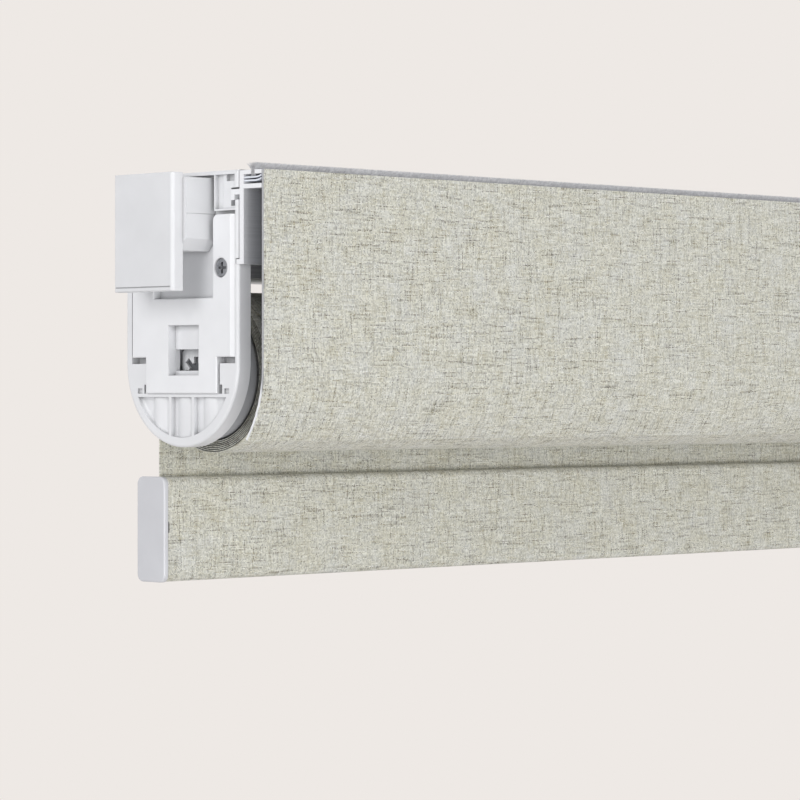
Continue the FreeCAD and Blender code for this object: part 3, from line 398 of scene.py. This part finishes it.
def cloth_strip(name, line, stations, thickness, material, body, fray=0.0, pinch=1.0, set_back=0.0):
    """Cloth that follows a line (y, z in mm) between stations along the shade. Its cut ends stand back by a
    length for each point of the line and up to fray more, and thin down to a share of its thickness."""
    line = np.array(line, float)
    step = np.diff(line, axis=0)
    step = np.vstack([step[:1], step[:-1] + step[1:], step[-1:]])
    side = np.stack([-step[:, 1], step[:, 0]], 1) / np.linalg.norm(step, axis=1)[:, None]
    run = np.concatenate([[0.0], np.cumsum(np.linalg.norm(np.diff(line, axis=0), axis=1))])
    lengths = np.concatenate([run, run[::-1]]) - line[0, 1]
    count = len(lengths)
    back = np.zeros(len(line)) + set_back
    back = np.concatenate([back, back[::-1]])
    picks = np.random.default_rng(7)
    points, laid = [], []
    for x in stations:
        cut_end = x in (stations[0], stations[-1])
        half = side * thickness / 2 * (pinch if cut_end else 1.0)
        ring = np.vstack([line + half, (line - half)[::-1]])
        rough = picks.uniform(0.0, fray, count) + back if cut_end else np.zeros(count)
        points += [((x - math.copysign(r, x)) * MM, y * MM, z * MM) for r, (y, z) in zip(rough, ring)]
        laid += [(x * MM, -length * MM) for length in lengths]
    faces = []
    for s in range(len(stations) - 1):
        for i in range(count):
            j = (i + 1) % count
            faces.append((s * count + i, s * count + j, (s + 1) * count + j, (s + 1) * count + i))
    last = (len(stations) - 1) * count
    for i in range(count // 2 - 1):
        faces.append((i, count - 1 - i, count - 2 - i, i + 1))
        faces.append((last + i, last + i + 1, last + count - 2 - i, last + count - 1 - i))
    piece = new_piece(name, points, faces, material)
    cut = piece.data.uv_layers.new(name="cut")
    corners = np.zeros(len(piece.data.loops), int)
    piece.data.loops.foreach_get("vertex_index", corners)
    cut.data.foreach_set("uv", np.array(laid, np.float32)[corners].ravel())
    piece.data.validate()
    if body:
        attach(piece, body)
    return piece


linen = woven_linen("linen-look polyester weave", True)
low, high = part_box("fascia_cloth")
front, top = low.y / MM, high.z / MM
cloth_thickness = 0.5
middle = cloth_thickness / 2
frayed_edge = 0.8
straight_end, curve_end, curve_radius = -65.5, -90.0, 41.0
curve_sweep = math.asin((straight_end - curve_end) / curve_radius)
curve_reach = curve_radius - middle
fascia_line = [(front + middle, z) for z in np.linspace(top, straight_end, 130)]
for turn in np.linspace(0.0, 1.0, 52)[1:] * curve_sweep:
    fascia_line.append((front + curve_radius - curve_reach * math.cos(turn),
                        straight_end - curve_reach * math.sin(turn)))
fascia_stations = [-half_length, frayed_edge - half_length, -half_length / 2, 0.0, half_length / 2,
                   half_length - frayed_edge, half_length]
fascia_front = cloth_strip("fascia_front_cloth", fascia_line, fascia_stations, cloth_thickness, linen,
                           "housing", fray=0.4)
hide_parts("fascia_cloth")


# Pile strip
# Grey polypropylene pile in the fascia's top slot. It closes the gap to the ceiling, stands up through the
# slot's opening and fans out above it, softly uneven from tuft to tuft. Its woven backing lies in the slot.

tuft_size = 1.111
pile, tree, skin = new_finish("grey polypropylene pile")
where = add(tree, "ShaderNodeTexCoord").outputs["Object"]
tufts = add(tree, "ShaderNodeTexNoise", {"Vector": where, "Scale": 1 / (tuft_size * MM), "Detail": 2.0})
fibre = add(tree, "ShaderNodeValToRGB", {"Fac": tufts.outputs["Fac"]})
fibre.color_ramp.elements[0].position = 0.3
fibre.color_ramp.elements[0].color = shade_of("#c3c3c5")
fibre.color_ramp.elements[1].position = 0.7
fibre.color_ramp.elements[1].color = shade_of("#ededee")
tree.links.new(fibre.outputs["Color"], skin.inputs["Base Color"])
skin.inputs["Roughness"].default_value = 0.6
skin.inputs["Sheen Weight"].default_value = 0.2

# Each fibre is a flat ribbon: root in the backing, neck in the slot's mouth, knee where it fans out, and tip
low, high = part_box("pile_strip")
start_x, end_x, middle_y = low.x / MM, high.x / MM, (low.y + high.y) / 2 / MM
slot_mouth, crown = -0.4, high.z / MM
half_stem, half_fan = 0.65, (high.y - low.y) / 2 / MM
fibre_gap, half_rows, side_room, tip_room = 0.3, 4, 0.1, 0.08
knee_share, crown_drop = 0.45, 0.35
picks = np.random.default_rng(3)
points, faces = [], []
for x in np.arange(start_x + side_room, end_x - side_room / 2, fibre_gap):
    for row in range(-half_rows, half_rows + 1):
        share = max(-1.0, min(1.0, row / half_rows + picks.uniform(-0.12, 0.12)))
        root_x = min(max(x + picks.uniform(-0.2, 0.2), start_x + side_room), end_x - side_room)
        tip_x = min(max(root_x + picks.normal(0, 0.35), start_x + tip_room), end_x - tip_room)
        tip_z = crown - crown_drop * share**2 - abs(picks.normal(0, 0.18))
        stem_y = middle_y + share * half_stem
        root = (root_x, stem_y, low.z / MM + 0.05)
        neck = (root_x, stem_y, slot_mouth)
        knee = ((root_x + tip_x) / 2, middle_y + share * (knee_share * half_fan + 0.2),
                knee_share * (slot_mouth + tip_z))
        tip = (tip_x, middle_y + share * (half_fan - 0.1), tip_z)
        base = len(points)
        for spot, half_width in ((root, 0.16), (neck, 0.16), (knee, 0.15), (tip, 0.05)):
            for side in (-1, 1):
                points.append(((spot[0] + side * half_width) * MM, spot[1] * MM, spot[2] * MM))
        for corner in (base, base + 2, base + 4):
            faces.append((corner, corner + 1, corner + 3, corner + 2))
brush = new_piece("pile_brush", points, faces, pile)
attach(brush, "housing")
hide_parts("pile_strip")

# Flat ribs lie across the tape. Bands of this wave repeat after 2 pi / 20 of its scale's unit.
rib_gap = 0.4488
tape, tree, skin = new_finish("woven polypropylene backing tape")
where = add(tree, "ShaderNodeTexCoord").outputs["Object"]
ribs = add(tree, "ShaderNodeTexWave", {"Vector": where, "Scale": 2 * math.pi / 20 / (rib_gap * MM),
                                       "Distortion": 0.6}, wave_type="BANDS", bands_direction="X")
rib = add(tree, "ShaderNodeValToRGB", {"Fac": ribs.outputs["Fac"]})
rib.color_ramp.elements[0].color = shade_of("#b9bec8")
rib.color_ramp.elements[1].color = shade_of("#e3e7ef")
tree.links.new(rib.outputs["Color"], skin.inputs["Base Color"])
skin.inputs["Roughness"].default_value = 0.5
dress(tape, "pile_backing")


# Roll of cloth and the cloth that hangs from it
# One length of the same weave, wound eight times on the tube, then straight down from the back of the roll
# into the hem bar. Little light gets between the turns, and that shade is painted into the wound cloth's
# colour, which is also painted a little lighter where the turns lie open. The hanging part lengthens as the
# hem bar goes down.

low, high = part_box("fabric_roll")
axis_z = (low.z + high.z) / 2 / MM
cloth_end = high.x / MM
tube_low, tube_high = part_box("roller_tube")
tube_radius = (tube_high.y - tube_low.y) / 2 / MM
turns, points_a_turn = 8, 96
wound_thickness, tube_gap = 0.42, 0.03
thinned_edge = 2.8
inner_set_back, inner_turn = 2.4, 0.95
hanging_y = high.y / MM - cloth_thickness / 2
inner = tube_radius + wound_thickness / 2 + tube_gap
pitch = (hanging_y - inner) / turns
spiral = []
for step in range(turns * points_a_turn + 1):
    angle = 2 * math.pi * step / points_a_turn
    reach = hanging_y - pitch * step / points_a_turn
    spiral.append((reach * math.cos(angle), axis_z + reach * math.sin(angle)))
roll_set_back = [inner_set_back if step > (turns - inner_turn) * points_a_turn else 0.0
                 for step in range(len(spiral))]
roll_stations = [-cloth_end, thinned_edge - cloth_end, 0.0, cloth_end - thinned_edge, cloth_end]

turn_gap_reach = 1.2
wound_linen = woven_linen("linen-look polyester weave, wound", True)
tree = wound_linen.node_tree
skin = tree.nodes["Principled BSDF"]
# Painted shade and light: the wound cloth darkens where the next turn lies within about a millimetre, and is
# painted a little lighter where it lies open
open_air = add(tree, "ShaderNodeAmbientOcclusion", {"Distance": turn_gap_reach * MM}, samples=8)
turn_shade = add(tree, "ShaderNodeMapRange", {"Value": open_air.outputs["AO"], "From Min": 0.40, "From Max": 0.85,
                                       "To Min": 0.15, "To Max": 1.12}).outputs["Result"]
weave = skin.inputs["Base Color"].links[0].from_socket
turn_shaded = add(tree, "ShaderNodeMix", {"Factor": 1.0, 6: weave, 7: turn_shade}, data_type="RGBA",
             blend_type="MULTIPLY")
tree.links.new(turn_shaded.outputs[2], skin.inputs["Base Color"])
roll = cloth_strip("wound_cloth", spiral, roll_stations, wound_thickness, wound_linen, "roller", fray=0.05,
                   pinch=0.75, set_back=np.array(roll_set_back))
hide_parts("fabric_roll")

hanging_linen = woven_linen("linen-look polyester weave, hanging", False)
low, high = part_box("hanging_cloth")
hem_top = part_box("hem_cap_left")[1].z / MM
drop_line = [(hanging_y, z) for z in np.linspace(axis_z, low.z / MM, 44)]
hanging = cloth_strip("hanging_cloth_sheet", drop_line, list(np.linspace(-cloth_end, cloth_end, 9)),
                      cloth_thickness, hanging_linen, None)
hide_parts("hanging_cloth")
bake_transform(hanging)


# Hem bar
# A flat oval aluminium extrusion wrapped in the same cloth, whose two edges tuck into the slot on top.
# A glossy light grey ABS cap closes each end, and its latch shows in a small window in the wrap.

cap_grey = moulding("light grey gloss ABS", "#cccdd1", 0.2, 0.4)
dress(cap_grey, "hem_cap_left", "hem_cap_right")

low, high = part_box("hem_cloth")
end_x = high.x / MM
rim_top, rim_bottom = high.z / MM - middle, low.z / MM + middle
rim_front, rim_back = low.y / MM + middle, high.y / MM - middle
corner = 2.5 - middle
half_mouth, lip, tuck = 0.8 + middle, 0.5, 1.4
window_top, window_bottom, window_depth = hem_top - 15.6, hem_top - 19.2, 0.65
lip_line = [(0.0, -tuck), (0.0, -lip), (0.15, -0.15), (lip, 0.0)]
wrap = [(hanging_y - half_mouth - out, rim_top + rise) for out, rise in lip_line]
for centre_y, centre_z, first in (
    (rim_front + corner, rim_top - corner, 90),
    (rim_front + corner, rim_bottom + corner, 180),
    (rim_back - corner, rim_bottom + corner, 270),
    (rim_back - corner, rim_top - corner, 0),
):
    for degrees in range(first, first + 91, 10):
        turn = math.radians(degrees)
        wrap.append((centre_y + corner * math.cos(turn), centre_z + corner * math.sin(turn)))
    if first == 90:
        wrap += [(rim_front, z) for z in (window_top + 0.05, window_top, window_bottom, window_bottom - 0.05)]
wrap += [(hanging_y + half_mouth + out, rim_top + rise) for out, rise in reversed(lip_line)]
wrap_set_back = [window_depth if y == rim_front and window_bottom - 0.01 < z < window_top + 0.01 else 0.0
                 for y, z in wrap]
wrap_stations = [-end_x, frayed_edge - end_x, *np.linspace(-200.0, 200.0, 5), end_x - frayed_edge, end_x]
hem_wrap = cloth_strip("hem_bar_wrap", wrap, wrap_stations, cloth_thickness, linen, "hem", fray=0.04,
                       set_back=np.array(wrap_set_back))
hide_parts("hem_cloth")


# Head rail, roller tube and hem extrusion
# Mill-finish aluminium, pressed through a die, so it carries fine lines along its length. None of it is meant
# to be seen, which is why it stays uncoated. The real lines are finer and wouldn't show if drawn so.

line_gap = 0.1923
mill, tree, skin = new_finish("mill-finish aluminium")
where = add(tree, "ShaderNodeTexCoord").outputs["Object"]
die_lines = (1 / (line_length * MM), 1 / (line_gap * MM), 1 / (line_gap * MM))
drawn = add(tree, "ShaderNodeMapping", {"Vector": where, "Scale": die_lines})
lines = add(tree, "ShaderNodeTexNoise", {"Vector": drawn.outputs[0], "Scale": 1.0, "Detail": 2.0})
tone = add(tree, "ShaderNodeValToRGB", {"Fac": lines.outputs["Fac"]})
tone.color_ramp.elements[0].position = 0.35
tone.color_ramp.elements[0].color = shade_of("#c2c4c7")
tone.color_ramp.elements[1].position = 0.65
tone.color_ramp.elements[1].color = shade_of("#d9dadc")
tree.links.new(tone.outputs["Color"], skin.inputs["Base Color"])
relief = add(tree, "ShaderNodeBump", {"Height": lines.outputs["Fac"], "Strength": 0.1, "Distance": 0.03 * MM})
tree.links.new(relief.outputs["Normal"], skin.inputs["Normal"])
skin.inputs["Metallic"].default_value = 1.0
skin.inputs["Roughness"].default_value = 0.5
dress(mill, "head_rail", "roller_tube", "hem_bar")


# Plugs, bushes, seats and splines
# Glass-filled nylon for the plugs and the spindle, waxy white acetal for the bushes and splines, and ABS for
# the seats. The nylon is slightly rough: mid grey beside the roll, dark grey on the star behind the window.

plug_nylon = moulding("mid grey glass-filled nylon", "#b0b2b6", 0.5, 0.3)
dress(plug_nylon, "winding_plug", "idle_plug")
dark_nylon = moulding("dark grey glass-filled nylon", "#5c5e62", 0.5, 0.2)
dress(dark_nylon, "spring_anchor", "spring_shaft")
acetal = moulding("natural acetal", "#d9dadb", 0.34, 0.2)
dress(acetal, "winding_bush", "idle_bush", "cloth_spline", "hem_spline")
dress(grey_white_abs, "star_seat", "pin_seat")


# Screws
# Zinc-plated steel: four pan heads through the lock plates, and two set screws. The plating is bright and
# faintly mottled, and the driver's cross is darker towards its floor: grease, and painted shade in the
# recess.

bloom_size = 0.625
head_top, cross_floor = half_length + 0.3, half_length - 0.1
zinc, tree, skin = new_finish("bright zinc-plated steel")
where = add(tree, "ShaderNodeTexCoord").outputs["Object"]
bloom = add(tree, "ShaderNodeTexNoise", {"Vector": where, "Scale": 1 / (bloom_size * MM), "Detail": 4.0,
                                         "Roughness": 0.7})
plating = add(tree, "ShaderNodeValToRGB", {"Fac": bloom.outputs["Fac"]})
plating.color_ramp.elements[0].position = 0.3
plating.color_ramp.elements[0].color = shade_of("#a8aaae")
plating.color_ramp.elements[1].position = 0.7
plating.color_ramp.elements[1].color = shade_of("#cdcfd3")
spot = add(tree, "ShaderNodeSeparateXYZ", {0: where}).outputs["X"]
depth = add(tree, "ShaderNodeMath", {0: spot}, operation="ABSOLUTE").outputs[0]
# Grease and painted shade: darker towards the floor of the driver's cross
cross_shade_and_grease = add(tree, "ShaderNodeMapRange", {"Value": depth, "From Min": head_top * MM,
                                         "From Max": cross_floor * MM, "To Min": 1.0,
                                         "To Max": 0.4}).outputs["Result"]
plating_and_cross_shade = add(tree, "ShaderNodeMix", {"Factor": 1.0, 6: plating.outputs["Color"], 7: cross_shade_and_grease}, data_type="RGBA",
           blend_type="MULTIPLY")
tree.links.new(plating_and_cross_shade.outputs[2], skin.inputs["Base Color"])
skin.inputs["Metallic"].default_value = 1.0
skin.inputs["Roughness"].default_value = 0.34
dress(zinc, "rail_screws", "lock_screws")


# Springs and the idle pin
# Drawn spring steel and a turned pin, lightly oiled, darker than the plating. The spring behind the pin sits
# against the end of its bore, so it shortens as the pin goes in.

oil_size = 2.381
spring_steel, tree, skin = new_finish("oiled drawn spring steel")
where = add(tree, "ShaderNodeTexCoord").outputs["Object"]
oil = add(tree, "ShaderNodeTexNoise", {"Vector": where, "Scale": 1 / (oil_size * MM), "Detail": 3.0})
steel = add(tree, "ShaderNodeValToRGB", {"Fac": oil.outputs["Fac"]})
steel.color_ramp.elements[0].color = shade_of("#74777c")
steel.color_ramp.elements[1].color = shade_of("#a5a8ad")
tree.links.new(steel.outputs["Color"], skin.inputs["Base Color"])
skin.inputs["Metallic"].default_value = 1.0
skin.inputs["Roughness"].default_value = 0.3
dress(spring_steel, "torsion_spring", "idle_pin")

low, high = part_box("pin_spring")
wire, coils, bends, sides = 0.8, 5, 24, 10
mean_radius = (high.y - low.y) / 2 / MM - wire / 2
heart_y, heart_z = (low.y + high.y) / 2 / MM, (low.z + high.z) / 2 / MM
free_length = (high.x - low.x) / MM - wire
points = []
for step in range(coils * bends + 1):
    angle = 2 * math.pi * step / bends
    along = high.x / MM - wire / 2 - free_length * step / (coils * bends)
    for corner in range(sides):
        around = 2 * math.pi * corner / sides
        reach = mean_radius + wire / 2 * math.cos(around)
        points.append(((along + wire / 2 * math.sin(around)) * MM, (heart_y + reach * math.cos(angle)) * MM,
                       (heart_z + reach * math.sin(angle)) * MM))
faces = [list(range(sides)), list(range(len(points) - 1, len(points) - sides - 1, -1))]
for step in range(coils * bends):
    for corner in range(sides):
        here, beside = step * sides + corner, step * sides + (corner + 1) % sides
        faces.append((here, here + sides, beside + sides, beside))
coil = new_piece("pin_spring_coil", points, faces, spring_steel)
coil.data.shade_smooth()
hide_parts("pin_spring")
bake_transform(coil)
